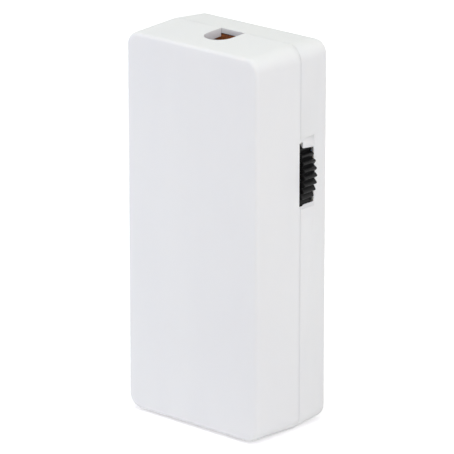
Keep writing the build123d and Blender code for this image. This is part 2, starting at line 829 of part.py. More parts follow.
def triac_leads():
    """Three legs that leave the body along the case and turn down into the board."""
    leads = []
    low_y = board_front_y - leg_below_board
    for step, (x, z) in enumerate(triac_lead_places()):
        y = triac_mid_y + (step - 1) * triac_lead_pitch
        leads.append(bent_leg((1, 0, 0), (x, y, triac_low_z), (x, y, z), (x, low_y, z)))
    return leads


def triac_screw():
    """The screw through the tab into the heat sink."""
    seat_x = triac_x + triac_tab_thickness
    head = bar_along_x(triac_mid_y, triac_hole_z, triac_screw_head_radius, seat_x,
                       seat_x + triac_screw_head_height)
    return head + bar_along_x(triac_mid_y, triac_hole_z, triac_screw_radius, sink_x, seat_x)


def core_ring():
    """The choke core's ring, inside the winding all round."""
    ring = RegularPolygon(choke_outer_radius - choke_wire, hidden_sides)
    ring -= RegularPolygon(choke_inner_radius + choke_wire, hidden_sides)
    return slab(Pos(choke_x, choke_z) * ring, choke_y + choke_wire,
                choke_y + choke_height - choke_wire)


def choke_core():
    """The iron-powder ring."""
    return core_ring()


def choke_winding():
    """The winding, one layer close round the core, open at one side."""
    ring = sector(choke_inner_radius, choke_outer_radius, 0, choke_winding_angle)
    winding = slab(Pos(choke_x, choke_z) * ring, choke_y, choke_y + choke_height)
    return winding - core_ring()


def moulded_box(x, z, width, length, height):
    """A moulded box capacitor on the board, its upper edges bevelled."""
    box = block(x - width / 2, x + width / 2, board_y + seat_gap, board_y + height,
                z - length / 2, z + length / 2)
    return chamfer(box.edges().group_by(Axis.Y)[-1], moulded_edge_bevel)


def axial_part(z, radius, length):
    """A barrel across the case between its two legs."""
    y = board_y + seat_gap + radius
    return bar_along_x(y, z, radius, axial_x - length / 2, axial_x + length / 2)


def component_leads():
    """The tinned legs of the resistors, the diac, the capacitors and the choke."""
    legs = []
    low_y = board_front_y - leg_below_board
    rows = [(z, resistor_radius, resistor_length) for z in resistor_zs]
    for z, radius, length in rows + [(diac_z, diac_radius, diac_length)]:
        y = board_y + seat_gap + radius
        for side in (-1, 1):
            x = axial_x + side * axial_lead_pitch / 2
            end_x = axial_x + side * length / 2
            legs.append(bent_leg((0, 0, 1), (end_x, y, z), (x, y, z), (x, low_y, z)))
    for x, z in upright_leg_places():
        legs.append(leg(x, z, low_y, board_y + seat_gap))
    return legs


def fuse_ends():
    """The middle of each end cap along the case."""
    reach = fuse_length / 2 - fuse_cap_length / 2
    return (fuse_z - reach, fuse_z + reach)


def fuse_tube():
    """The glass tube between the caps."""
    low_z = fuse_z - fuse_length / 2 + fuse_glass_inset
    high_z = fuse_z + fuse_length / 2 - fuse_glass_inset
    tube = small_post_along_z(fuse_x, fuse_y, fuse_glass_radius, low_z, high_z)
    return tube - small_post_along_z(fuse_x, fuse_y, fuse_glass_radius - fuse_glass_wall, low_z,
                                     high_z)


def fuse_caps():
    """The two metal caps over the ends of the tube."""
    caps = []
    half_cap = fuse_cap_length / 2
    for side, z in zip((-1, 1), fuse_ends()):
        cap = small_post_along_z(fuse_x, fuse_y, fuse_cap_radius, z - half_cap, z + half_cap)
        inner_z = z - side * fuse_glass_inset
        cap -= small_post_along_z(fuse_x, fuse_y, fuse_glass_radius, inner_z - half_cap,
                                  inner_z + half_cap)
        caps.append(cap)
    return caps


def fuse_clips():
    """The two spring clips: a foot on the board and two arms round the cap."""
    clips = []
    inner = fuse_cap_radius + clip_clearance
    outer = inner + clip_sheet
    for z in fuse_ends():
        ring = sector(inner, outer, -90, clip_wrap_angle)
        foot_height = fuse_y - board_y - inner
        foot = Pos(0, -inner - foot_height / 2) * Rectangle(clip_foot_width, foot_height)
        section = Plane(origin=(fuse_x, fuse_y, z - clip_breadth / 2), x_dir=(1, 0, 0),
                        z_dir=(0, 0, 1))
        clips.append(extrude(section * (ring + foot), clip_breadth))
    return clips


save("front_shell", front_shell())
save("back_cover", back_cover())
save("thumbwheel", thumbwheel())
save("wheel_screw", wheel_screw())
save("potentiometer_shaft", potentiometer_shaft())
save("wiper_carrier", wiper_carrier())
save("wiper_spring", wiper_spring())
save("potentiometer_base", potentiometer_base())
save("potentiometer_pins", potentiometer_pins())
save("potentiometer_housing", potentiometer_housing())
save("resistive_track", resistive_track())
save("bottom_cord_clamp", cord_clamp(clamp_zs[0]))
save("top_cord_clamp", cord_clamp(clamp_zs[1]))
save("clamp_screws", clamp_screws())
save("case_screws", case_screws())
save("circuit_board", circuit_board())
save("board_screws", board_screws())
save("top_terminal_block", terminal_block(*terminal_ends[0]))
save("bottom_terminal_block", terminal_block(*terminal_ends[1]))
save("top_terminal_cages", terminal_cages(-1))
save("bottom_terminal_cages", terminal_cages(1))
save("terminal_screws", terminal_screws())
save("heat_sink", heat_sink())
save("triac_body", triac_body())
save("triac_tab", triac_tab())
save("triac_leads", triac_leads())
save("triac_screw", triac_screw())
save("choke_core", choke_core())
save("choke_winding", choke_winding())
save("suppression_capacitor", moulded_box(big_cap_x, big_cap_z, big_cap_width, big_cap_length,
                                          big_cap_height))
save("timing_capacitors", [moulded_box(x, small_cap_z, small_cap_length, small_cap_width,
                                       small_cap_height) for x in small_cap_xs])
save("resistors", [axial_part(z, resistor_radius, resistor_length) for z in resistor_zs])
save("diac", axial_part(diac_z, diac_radius, diac_length))
save("component_leads", component_leads())
save("fuse_tube", fuse_tube())
save("fuse_caps", fuse_caps())
save("fuse_clips", fuse_clips())
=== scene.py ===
import math

import bmesh
import bpy
import numpy as np
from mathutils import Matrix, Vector


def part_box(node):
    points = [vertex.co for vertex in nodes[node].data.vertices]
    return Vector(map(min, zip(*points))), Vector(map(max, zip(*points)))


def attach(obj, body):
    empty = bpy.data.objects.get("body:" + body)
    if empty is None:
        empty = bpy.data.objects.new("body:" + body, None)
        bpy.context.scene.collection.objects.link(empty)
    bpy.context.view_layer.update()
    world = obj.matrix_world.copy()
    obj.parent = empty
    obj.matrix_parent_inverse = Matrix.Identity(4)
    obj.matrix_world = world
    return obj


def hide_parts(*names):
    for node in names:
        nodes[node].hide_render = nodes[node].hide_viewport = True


# The looks of an inline dimmer: a white moulded case in two halves, its black ribbed thumbwheel,
# and the parts of the circuit inside. X runs across, Y from front to back, Z along the case.
# Lengths are metres, and profiles and paths are worked out in millimetres. The frame holds every
# place and size, and the values here only add detail.

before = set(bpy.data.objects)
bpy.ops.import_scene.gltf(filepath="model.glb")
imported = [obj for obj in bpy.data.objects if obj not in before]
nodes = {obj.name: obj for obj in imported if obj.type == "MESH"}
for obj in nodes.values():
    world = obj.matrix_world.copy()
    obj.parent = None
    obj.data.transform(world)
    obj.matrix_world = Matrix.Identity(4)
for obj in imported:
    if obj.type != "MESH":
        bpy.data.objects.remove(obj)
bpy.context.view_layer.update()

MM = 0.001

# Depth of the joint between the two halves of the case, in millimetres. The grey line beside it,
# partly dust and partly painted shade, is full within the first distance, ends at the second,
# and fades out between two heights below the top
PARTING_Y = 2.0
DUST_AND_SHADE_SHARE = 0.1
DUST_AND_SHADE_FULL = 0.03
DUST_AND_SHADE_END = 0.14
DUST_AND_SHADE_FADE_LOW = 85.0
DUST_AND_SHADE_FADE_HIGH = 89.0

# The camera of the photograph: its angles and distance from a point at CAMERA_CENTRE_Z on the
# case's axis, the height that it looks at, and its lens
CAMERA_AZIMUTH = 41.84
CAMERA_ELEVATION = 17.74
CAMERA_DISTANCE = 0.926
CAMERA_CENTRE_Z = 0.045
CAMERA_AIM_Z = 0.0447
CAMERA_LENS_MM = 326.8
CAMERA_SENSOR_MM = 36.0

# How much white the floor adds where it is looked at, its radius, and the room's own light
FLOOR_LIFT = 0.45
FLOOR_RADIUS = 6.0
WORLD_STRENGTH = 0.245

# Angles above which a fold stays sharp: between two CAD faces, on a turned piece, and on a wheel,
# ring or wire
SHARP_ANGLE = 40.0
TURNED_SHARP_ANGLE = 50.0
ROUND_SHARP_ANGLE = 60.0

# A round CAD piece of ten sides reaches this share of its radius along the case: cos 18 degrees
TEN_SIDED = math.cos(math.pi / 10)

# Points closer together than this, in metres, become one, and CAD faces that meet at less than
# this angle become one face
MERGE_DISTANCE = 0.0005 * MM
FLAT_ANGLE = 0.2


def from_angles(azimuth, elevation, distance):
    """The point at a distance from the origin; azimuth 0 is the front, and grows towards +X."""
    turn = math.radians(azimuth)
    rise = math.radians(elevation)
    return (distance * math.sin(turn) * math.cos(rise),
            -distance * math.cos(turn) * math.cos(rise),
            distance * math.sin(rise))


def aim(thing, place, target):
    """Puts a camera or lamp at a place, its -Z axis towards the target and its Y axis up."""
    to_target = Vector(target) - Vector(place)
    thing.location = place
    thing.rotation_euler = to_target.to_track_quat("-Z", "Y").to_euler()


def add_camera():
    """The camera, which sees the case a little from its right and from above."""
    data = bpy.data.cameras.new("camera")
    data.lens = CAMERA_LENS_MM
    data.sensor_width = CAMERA_SENSOR_MM
    camera = bpy.data.objects.new("camera", data)
    bpy.context.scene.collection.objects.link(camera)
    x, y, z = from_angles(CAMERA_AZIMUTH, CAMERA_ELEVATION, CAMERA_DISTANCE)
    aim(camera, (x, y, z + CAMERA_CENTRE_Z), (0, 0, CAMERA_AIM_Z))
    bpy.context.scene.camera = camera


def colour(hex_code):
    """A linear colour from an sRGB hex code."""
    channels = np.array([int(hex_code[i:i + 2], 16) for i in (1, 3, 5)]) / 255
    linear = np.where(channels <= 0.04045, channels / 12.92, ((channels + 0.055) / 1.055) ** 2.4)
    return (*linear, 1.0)


def add_node(tree, kind, inputs=None, **settings):
    """Adds a shader node, sets its properties and inputs, and links inputs that are sockets."""
    node = tree.nodes.new(kind)
    for name, value in settings.items():
        setattr(node, name, value)
    for name, value in (inputs or {}).items():
        socket = node.inputs[name]
        if isinstance(value, bpy.types.NodeSocket):
            tree.links.new(value, socket)
        else:
            socket.default_value = value
    return node


def new_material(name):
    """An empty node material, with its tree and its output node."""
    material = bpy.data.materials.new(name)
    material.use_nodes = True
    tree = material.node_tree
    tree.nodes.clear()
    return material, tree, add_node(tree, "ShaderNodeOutputMaterial")


def object_pattern(tree, stretch=(1, 1, 1)):
    """Object coordinates, stretched along each axis."""
    place = add_node(tree, "ShaderNodeTexCoord").outputs["Object"]
    return add_node(tree, "ShaderNodeMapping",
                    {"Vector": place, "Scale": stretch}).outputs["Vector"]


def noise(tree, place, size_mm, detail=2.0, roughness=0.5):
    """Noise whose blobs are about a size in millimetres, from 0 to 1."""
    return add_node(tree, "ShaderNodeTexNoise", {
        "Vector": place, "Scale": 1 / (size_mm * MM), "Detail": detail,
        "Roughness": roughness}).outputs["Fac"]


def spread(tree, value, low, high, from_low=0.3, from_high=0.7):
    """A value stretched from one range to another, and held inside it."""
    return add_node(tree, "ShaderNodeMapRange", {
        "Value": value, "From Min": from_low, "From Max": from_high, "To Min": low,
        "To Max": high}).outputs["Result"]


def blend_colours(tree, share, first, second):
    """Two colours mixed by a share from 0 to 1."""
    # Inputs 6 and 7 and output 2 are the colour ones of this node
    mix = add_node(tree, "ShaderNodeMix", {0: share, 6: first, 7: second}, data_type="RGBA")
    return mix.outputs[2]


def maths(tree, operation, *values, clamp=False):
    """The result of a maths node on its values, which are numbers or sockets."""
    node = add_node(tree, "ShaderNodeMath", dict(enumerate(values)), operation=operation,
                    use_clamp=clamp)
    return node.outputs[0]


def looked_at(tree):
    """1 where the camera, a gloss or a glass looks, and 0 for light that falls on something."""
    rays = add_node(tree, "ShaderNodeLightPath").outputs
    seen = maths(tree, "ADD", rays["Is Camera Ray"], rays["Is Glossy Ray"])
    return maths(tree, "ADD", seen, rays["Is Transmission Ray"], clamp=True)


def bumps(tree, height, depth_mm, strength=1.0):
    """A normal from a height from 0 to 1, whose full depth is in millimetres."""
    return add_node(tree, "ShaderNodeBump", {
        "Height": height, "Strength": strength, "Distance": depth_mm * MM}).outputs["Normal"]


def finish_surface(tree, output, inputs):
    """Ends a material with one principled shader."""
    shader = add_node(tree, "ShaderNodeBsdfPrincipled", inputs)
    tree.links.new(shader.outputs["BSDF"], output.inputs["Surface"])


def moulded_white_abs():
    """White ABS from a finely eroded mould: a satin white with a grain that only breaks up gloss,
    a very slight flow mottle, light carried a little way under the skin, and a thin grey line
    along the joint between the halves, partly dust and partly painted shade, which fades out
    towards the top."""
    material, tree, output = new_material("moulded_white_abs")
    place = object_pattern(tree)
    flow = noise(tree, object_pattern(tree, (1, 1, 0.35)), 16, 3)
    # The real grain is about 0.05 mm; it is drawn at 0.35 mm so that it shows at all
    grain = noise(tree, place, 0.35, 2)
    white = blend_colours(tree, spread(tree, flow, 0, 1), colour("#ecedec"), colour("#e9eaea"))
    axes = add_node(tree, "ShaderNodeSeparateXYZ", {"Vector": place}).outputs
    # The grey line along the joint is painted shade mixed with dust: darker close to the joint's
    # plane, and faded out near the top
    from_joint = maths(tree, "ABSOLUTE", maths(tree, "SUBTRACT", axes["Y"], PARTING_Y * MM))
    below_top = spread(tree, axes["Z"], 1, 0, DUST_AND_SHADE_FADE_LOW * MM, DUST_AND_SHADE_FADE_HIGH * MM)
    near_joint = spread(tree, from_joint, DUST_AND_SHADE_SHARE, 0, DUST_AND_SHADE_FULL * MM, DUST_AND_SHADE_END * MM)
    dust_and_shade = maths(tree, "MULTIPLY", near_joint, below_top)
    finish_surface(tree, output, {
        # The grey #a9a9a7 here is the joint's painted shade mixed with dust
        "Base Color": blend_colours(tree, dust_and_shade, white, colour("#a9a9a7")),
        "Roughness": spread(tree, grain, 0.56, 0.68),
        "IOR": 1.53,
        "Specular IOR Level": 0.25,
        "Subsurface Weight": 0.6,
        "Subsurface Radius": (1.0, 0.95, 0.9),
        "Subsurface Scale": 0.6 * MM,
        "Normal": bumps(tree, grain, 0.010, 0.5),
    })
    return material


def moulded_black_wheel():
    """Black glass-filled nylon: deep black, half glossy, with rib crests rubbed a little smoother
    and greyer by fingers."""
    material, tree, output = new_material("moulded_black_wheel")
    place = object_pattern(tree)
    # The real glass fibres are about 0.01 mm thick; their mottle is drawn at 0.3 mm
    mottle = noise(tree, place, 0.3, 3)
    rubbed = add_node(tree, "ShaderNodeAttribute", attribute_name="crest").outputs["Fac"]
    patches = spread(tree, noise(tree, place, 2.5, 2), 0.2, 1)
    worn = maths(tree, "MULTIPLY", rubbed, patches)
    # Roughness is 0.38, up to 0.10 less where worn and up to 0.10 more in the mottle
    smooth = maths(tree, "MULTIPLY_ADD", worn, -0.10, 0.38)
    finish_surface(tree, output, {
        "Base Color": blend_colours(tree, worn, colour("#09090a"), colour("#131314")),
        "Roughness": maths(tree, "MULTIPLY_ADD", mottle, 0.10, smooth),
        "IOR": 1.53,
        "Specular IOR Level": 0.16,
        "Normal": bumps(tree, mottle, 0.012, 0.5),
    })
    return material


def pressed_phenolic(name, light, dark, layer_axis):
    """Phenolic paper pressed in sheets: a resin brown with fine fibres in the sheet, thin darker
    layers through its thickness, and a dull waxy shine."""
    material, tree, output = new_material(name)
    stretch = [0.25, 0.25, 0.25]
    stretch[layer_axis] = 3.0
    layers = noise(tree, object_pattern(tree, stretch), 0.9, 4)
    fibres = noise(tree, object_pattern(tree, (1, 0.3, 0.6)), 0.35, 4, 0.6)
    share = maths(tree, "MULTIPLY", layers, fibres)
    finish_surface(tree, output, {
        "Base Color": blend_colours(tree, spread(tree, share, 0, 1, 0.12, 0.42),
                                    colour(light), colour(dark)),
        "Roughness": spread(tree, fibres, 0.42, 0.6),
        "IOR": 1.6,
        "Normal": bumps(tree, fibres, 0.02, 0.6),
    })
    return material


def circuit_laminate():
    """Phenolic paper laminate with a tan sheet's faint cloudy fibres and a lacquered face."""
    material, tree, output = new_material("circuit_laminate")
    clouds = noise(tree, object_pattern(tree), 3.0, 4, 0.6)
    fibres = noise(tree, object_pattern(tree, (1, 1, 0.25)), 0.4, 3)
    tan = blend_colours(tree, spread(tree, clouds, 0, 1), colour("#b98f58"), colour("#a97e49"))
    finish_surface(tree, output, {
        "Base Color": blend_colours(tree, spread(tree, fibres, 0, 0.4), tan, colour("#8f6838")),
        "Roughness": spread(tree, fibres, 0.32, 0.48),
        "IOR": 1.55,
        "Coat Weight": 0.3,
        "Coat Roughness": 0.15,
        "Normal": bumps(tree, fibres, 0.01, 0.4),
    })
    return material


def plated_metal(name, bright, dull, roughness, grain_mm, stretch=(1, 1, 1)):
    """A plated or bare metal: a clear metal colour, slightly clouded, with fine rolling or turning
    marks that spread its highlights along one way."""
    material, tree, output = new_material(name)
    clouds = noise(tree, object_pattern(tree), 1.6, 3)
    marks = noise(tree, object_pattern(tree, stretch), grain_mm, 3, 0.6)
    finish_surface(tree, output, {
        "Base Color": blend_colours(tree, spread(tree, clouds, 0, 1), colour(bright),
                                    colour(dull)),
        "Metallic": 1.0,
        "Roughness": spread(tree, marks, roughness - 0.07, roughness + 0.09),
        "Normal": bumps(tree, marks, 0.006, 0.5),
    })
    return material


def dull_moulding(name, base, mottle, roughness, grain_mm=0.35):
    """A filled thermoset or nylon moulding: an even colour with a faint cloudy mottle, and a skin
    that is shinier where it lay against the mould."""
    material, tree, output = new_material(name)
    place = object_pattern(tree)
    clouds = noise(tree, place, 2.2, 3)
    grain = noise(tree, place, grain_mm, 2)
    finish_surface(tree, output, {
        "Base Color": blend_colours(tree, spread(tree, clouds, 0, 1), colour(base),
                                    colour(mottle)),
        "Roughness": spread(tree, grain, roughness - 0.06, roughness + 0.08),
        "IOR": 1.55,
        "Normal": bumps(tree, grain, 0.012, 0.5),
    })
    return material


def enamelled_copper():
    """Round copper wire under clear amber enamel: a metal red-brown below a glossy thin coat."""
    material, tree, output = new_material("enamelled_copper")
    clouds = noise(tree, object_pattern(tree), 1.2, 2)
    finish_surface(tree, output, {
        "Base Color": blend_colours(tree, spread(tree, clouds, 0, 1), colour("#b0602c"),
                                    colour("#8d4518")),
        "Metallic": 0.85,
        "Roughness": spread(tree, clouds, 0.26, 0.38),
        "Coat Weight": 0.8,
        "Coat Roughness": 0.08,
        "Normal": bumps(tree, clouds, 0.006, 0.4),
    })
    return material


def banded_lacquer():
    """Tan resistor lacquer, slightly dimpled, with four painted code rings from the band value
    that its mesh carries: 0 is bare lacquer and each ring has its own step."""
    material, tree, output = new_material("banded_lacquer")
    band = add_node(tree, "ShaderNodeAttribute", attribute_name="band").outputs["Fac"]
    ramp = add_node(tree, "ShaderNodeValToRGB", {"Fac": band})
    ramp.color_ramp.interpolation = "CONSTANT"
    steps = ((0.0, "#c9a877"), (0.15, "#6b3418"), (0.35, "#1c1a1c"), (0.55, "#c8721f"),
             (0.75, "#b08a34"))
    elements = ramp.color_ramp.elements
    elements[1].position = steps[1][0]
    for _ in steps[2:]:
        elements.new(1.0)
    for element, (position, code) in zip(elements, steps):
        element.position = position
        element.color = colour(code)
    dimples = noise(tree, object_pattern(tree), 0.5, 2)
    finish_surface(tree, output, {
        "Base Color": ramp.outputs["Color"],
        "Roughness": spread(tree, dimples, 0.28, 0.42),
        "IOR": 1.5,
        "Normal": bumps(tree, dimples, 0.02, 0.5),
    })
    return material


def clear_glass(name, tint, roughness):
    """Drawn glass tube or bead: clear with a faint tint, and a skin with slight draw lines."""
    material, tree, output = new_material(name)
    lines = noise(tree, object_pattern(tree, (2, 2, 0.2)), 0.8, 2)
    finish_surface(tree, output, {
        "Base Color": colour(tint),
        "Transmission Weight": 1.0,
        "Roughness": spread(tree, lines, roughness, roughness + 0.02),
        "IOR": 1.52,
        "Normal": bumps(tree, lines, 0.004, 0.3),
    })
    return material


def printed_carbon():
    """Carbon ink on the wafer: near black, dull, with paler streaks at random; the wiper's polished
    path is not drawn.
    """
    material, tree, output = new_material("printed_carbon")
    place = object_pattern(tree)
    specks = noise(tree, place, 0.2, 3)
    streaks = noise(tree, place, 1.4, 2)
    finish_surface(tree, output, {
        "Base Color": blend_colours(tree, spread(tree, streaks, 0, 1), colour("#1b1b1d"),
                                    colour("#2c2c2e")),
        "Roughness": spread(tree, specks, 0.5, 0.75),
        "IOR": 1.7,
        "Normal": bumps(tree, specks, 0.01, 0.5),
    })
    return material


def studio_floor():
    """A plain white paper floor. The camera, gloss and glass see it as the photograph's white
    ground, darkened only where the case keeps the light off it."""
    material, tree, output = new_material("studio_floor")
    paper = noise(tree, object_pattern(tree), 3.0, 3)
    shade = add_node(tree, "ShaderNodeBsdfDiffuse", {
        "Color": blend_colours(tree, spread(tree, paper, 0, 1), colour("#f2f2f2"),
                               colour("#eeeeee"))})
    glow = add_node(tree, "ShaderNodeEmission", {"Color": (1, 1, 1, 1),
                                                 "Strength": FLOOR_LIFT})
    both = add_node(tree, "ShaderNodeAddShader", {0: shade.outputs[0], 1: glow.outputs[0]})
    choice = add_node(tree, "ShaderNodeMixShader", {
        0: looked_at(tree), 1: shade.outputs[0], 2: both.outputs[0]})
    tree.links.new(choice.outputs[0], output.inputs["Surface"])
    return material


def add_surroundings():
    """The floor, the even white room, and the wide soft lamps."""
    turn = np.linspace(0, 2 * np.pi, 64, endpoint=False)
    rim = np.stack([FLOOR_RADIUS * np.cos(turn), FLOOR_RADIUS * np.sin(turn), 0 * turn], axis=1)
    mesh = bpy.data.meshes.new("floor")
    mesh.from_pydata(rim.tolist(), [], [list(range(len(turn)))])
    mesh.materials.append(studio_floor())
    floor = bpy.data.objects.new("floor", mesh)
    bpy.context.scene.collection.objects.link(floor)

    world = bpy.data.worlds.new("room")
    world.use_nodes = True
    tree = world.node_tree
    tree.nodes.clear()
    white = add_node(tree, "ShaderNodeBackground", {"Color": (1, 1, 1, 1), "Strength": 1.0})
    light = add_node(tree, "ShaderNodeBackground", {"Color": colour("#fbfcff"),
                                                    "Strength": WORLD_STRENGTH})
    choice = add_node(tree, "ShaderNodeMixShader", {
        0: looked_at(tree), 1: light.outputs[0], 2: white.outputs[0]})
    add_node(tree, "ShaderNodeOutputWorld", {"Surface": choice.outputs[0]})
    bpy.context.scene.world = world

    # Each lamp: name, azimuth, elevation, distance, width, watts and tint
    lamps = (("key_lamp", 68, 33, 2.6, 3.2, 35.6, "#fcf6ff"),
             ("overhead_lamp", 10, 82, 2.4, 1.6, 26.0, "#f8fff4"),
             ("left_lamp", -50, 20, 1.6, 1.2, 7.3, "#f4ebff"),
             ("back_lamp", 128, 14, 1.6, 1.2, 2.65, "#fffdf7"),
             ("near_left_card", -62, 2, 0.2, 0.06, 0.083, "#e0f0ff"))
    for name, azimuth, elevation, distance, width, watts, tint in lamps:
        data = bpy.data.lights.new(name, "AREA")
        data.shape = "DISK"
        data.size = width
        data.energy = watts
        data.color = colour(tint)[:3]
        lamp = bpy.data.objects.new(name, data)
        lamp.visible_camera = False
        bpy.context.scene.collection.objects.link(lamp)
        aim(lamp, from_angles(azimuth, elevation, distance), (0, 0, CAMERA_AIM_Z))
    bpy.context.scene.view_settings.view_transform = "Standard"


def link_piece(mesh, name, material, body, slot, *replaced):
    """Puts a finished mesh into the scene as a piece that stands for CAD nodes."""
    piece = bpy.data.objects.new(name, mesh)
    bpy.context.scene.collection.objects.link(piece)
    mesh.materials.clear()
    mesh.materials.append(material)
    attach(piece, body)
    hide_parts(*replaced)
    return piece


def keep_folds(mesh, sharp_angle):
    """Shades a mesh round, apart from the folds above an angle in degrees."""
    mesh.shade_smooth()
    mesh.set_sharp_from_angle(angle=math.radians(sharp_angle))
    return mesh


def smooth_copy(node, material, slot, body="root", bevel_mm=0.0):
    """A merged copy of a CAD node: flat faces joined, folds under SHARP_ANGLE shaded round, and
    the other edges broken by a small moulded radius where one is given."""
    work = bmesh.new()
    work.from_mesh(nodes[node].data)
    bmesh.ops.remove_doubles(work, verts=work.verts, dist=MERGE_DISTANCE)
    bmesh.ops.dissolve_degenerate(work, dist=MERGE_DISTANCE, edges=work.edges)
    bmesh.ops.dissolve_limit(work, angle_limit=math.radians(FLAT_ANGLE), verts=work.verts,
                             edges=work.edges, use_dissolve_boundaries=False)
    # Only outer edges are broken: an inner corner stays as sharp as the mould's own edge
    weights = work.edges.layers.float.new("bevel_weight_edge")
    for edge in work.edges:
        if edge.is_manifold and edge.is_convex:
            edge[weights] = float(edge.calc_face_angle() > math.radians(SHARP_ANGLE))
    mesh = bpy.data.meshes.new(node + "_skin")
    work.to_mesh(mesh)
    work.free()
    keep_folds(mesh, SHARP_ANGLE)
    piece = link_piece(mesh, node + "_skin", material, body, slot, node)
    if bevel_mm:
        bevel = piece.modifiers.new("moulded_edges", "BEVEL")
        bevel.width = bevel_mm * MM
        bevel.segments = 2
        bevel.limit_method = "WEIGHT"
        bevel.harden_normals = True
    return piece


def box_mm(node):
    """A CAD node's lowest and highest corners, in millimetres."""
    return tuple(np.array(corner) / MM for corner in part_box(node))


def grid_mesh(name, points, closed_u=False, closed_v=False, attributes=None):
    """A mesh from a grid of points, shape (u, v, 3), joined to quads; each way may close on
    itself. Faces point to the side where u, v and the normal are right-handed."""
    count_u, count_v = points.shape[:2]
    index = np.arange(count_u * count_v).reshape(count_u, count_v)
    if closed_u:
        index = np.concatenate([index, index[:1]], axis=0)
    if closed_v:
        index = np.concatenate([index, index[:, :1]], axis=1)
    quads = np.stack([index[:-1, :-1], index[1:, :-1], index[1:, 1:], index[:-1, 1:]], axis=-1)
    mesh = bpy.data.meshes.new(name)
    mesh.from_pydata(points.reshape(-1, 3).tolist(), [], quads.reshape(-1, 4).tolist())
    for key, values in (attributes or {}).items():
        layer = mesh.attributes.new(key, "FLOAT", "POINT")
        layer.data.foreach_set("value", np.ascontiguousarray(values, dtype=np.float32).ravel())
    mesh.shade_smooth()
    return mesh


def closed_up(mesh, sharp_angle):
    """Merges a mesh's doubled points, turns its faces outwards, and keeps its folds sharp."""
    work = bmesh.new()
    work.from_mesh(mesh)
    bmesh.ops.remove_doubles(work, verts=work.verts, dist=MERGE_DISTANCE)
    bmesh.ops.recalc_face_normals(work, faces=work.faces)
    work.to_mesh(mesh)
    work.free()
    return keep_folds(mesh, sharp_angle)


def joined(name, meshes):
    """Several meshes as one, each kept closed in itself."""
    work = bmesh.new()
    for mesh in meshes:
        work.from_mesh(mesh)
    result = bpy.data.meshes.new(name)
    work.to_mesh(result)
    work.free()
    return keep_folds(result, SHARP_ANGLE)


def rounded_profile(corners, radii, steps=4):
    """A line through corners, each rounded by a quadratic curve that leaves the line a radius
    before the corner and joins it a radius after: (1-s)^2 of the first point, 2s(1-s) of the
    corner and s^2 of the last, with s from 0 to 1."""
    corners = np.asarray(corners, float)
    points = []
    last = len(corners) - 1
    for i, corner in enumerate(corners):
        if i in (0, last) or radii[i] == 0:
            points.append(corner)
            continue
        back = corners[i - 1] - corner
        ahead = corners[i + 1] - corner
        start = corner + back / np.linalg.norm(back) * radii[i]
        end = corner + ahead / np.linalg.norm(ahead) * radii[i]
        share = np.linspace(0, 1, steps + 1)[:, None]
        points += list((1 - share) ** 2 * start + 2 * share * (1 - share) * corner
                       + share ** 2 * end)
    return np.array(points)


# The thumbwheel's detail, in millimetres
WHEEL_RIBS = 46
WHEEL_RIB_START = 0.1
WHEEL_RIB_HEIGHT = 0.85
WHEEL_RIB_POWER = 0.75
WHEEL_STEPS_PER_RIB = 16
WHEEL_EDGE_ROUND = 0.18
WHEEL_RIM = 3.0
WHEEL_WEB = 1.8
WHEEL_HUB_RADIUS = 4.4
WHEEL_BORE_RADIUS = 2.45
# The profile starts this far in from the back, and has a point this far inside the ribs' roots
WHEEL_SEAM = 1.8
WHEEL_FACE_STEP = 1.2


def thumbwheel():
    """The wheel as one surface of angle and profile. The profile runs from the bore over the
    front face, round the rim, over the web's recess and the hub, back to the bore. On the rim the
    radius is the root radius plus the rib height times a rib wave: (1+cos)/2 of the angle in the
    rib, raised to WHEEL_RIB_POWER, which makes crests a little broader than the gaps."""
    low, high = box_mm("thumbwheel")
    middle = (low + high) / 2
    crest = (high[2] - low[2]) / 2
    front, back = low[1], high[1]
    root = crest - WHEEL_RIB_HEIGHT
    rim_inner = crest - WHEEL_RIM
    web = front + WHEEL_WEB
    hub, bore = WHEEL_HUB_RADIUS, WHEEL_BORE_RADIUS
    in_bore = (bore, back - WHEEL_SEAM)
    corners = [in_bore, (bore, front), (root - WHEEL_FACE_STEP, front), (crest, front),
               (crest, back), (rim_inner, back), (rim_inner, web), (hub, web), (hub, back),
               (bore, back), in_bore]
    radii = [0, 0.15, 0, WHEEL_EDGE_ROUND, WHEEL_EDGE_ROUND, 0.2, 0.3, 0.3, 0.2, 0.15, 0]
    profile = rounded_profile(corners, radii)[:-1]
    angle = np.linspace(0, 2 * np.pi, WHEEL_RIBS * WHEEL_STEPS_PER_RIB, endpoint=False)
    phase = WHEEL_RIBS * (angle - math.radians(WHEEL_RIB_START))
    wave = ((1 + np.cos(phase)) / 2) ** WHEEL_RIB_POWER
    radius = profile[None, :, 0]
    on_rim = np.clip((radius - root) / (crest - root), 0, 1)
    lowered = radius - on_rim * (crest - root) * (1 - wave[:, None])
    x = middle[0] + lowered * np.cos(angle)[:, None]
    z = middle[2] + lowered * np.sin(angle)[:, None]
    y = np.broadcast_to(profile[None, :, 1], x.shape)
    rubbed = np.clip(on_rim * wave[:, None], 0, 1) ** 2
    mesh = grid_mesh("thumbwheel", np.stack([x, y, z], axis=-1) * MM, True, True,
                     {"crest": rubbed})
    return closed_up(mesh, ROUND_SHARP_ANGLE)


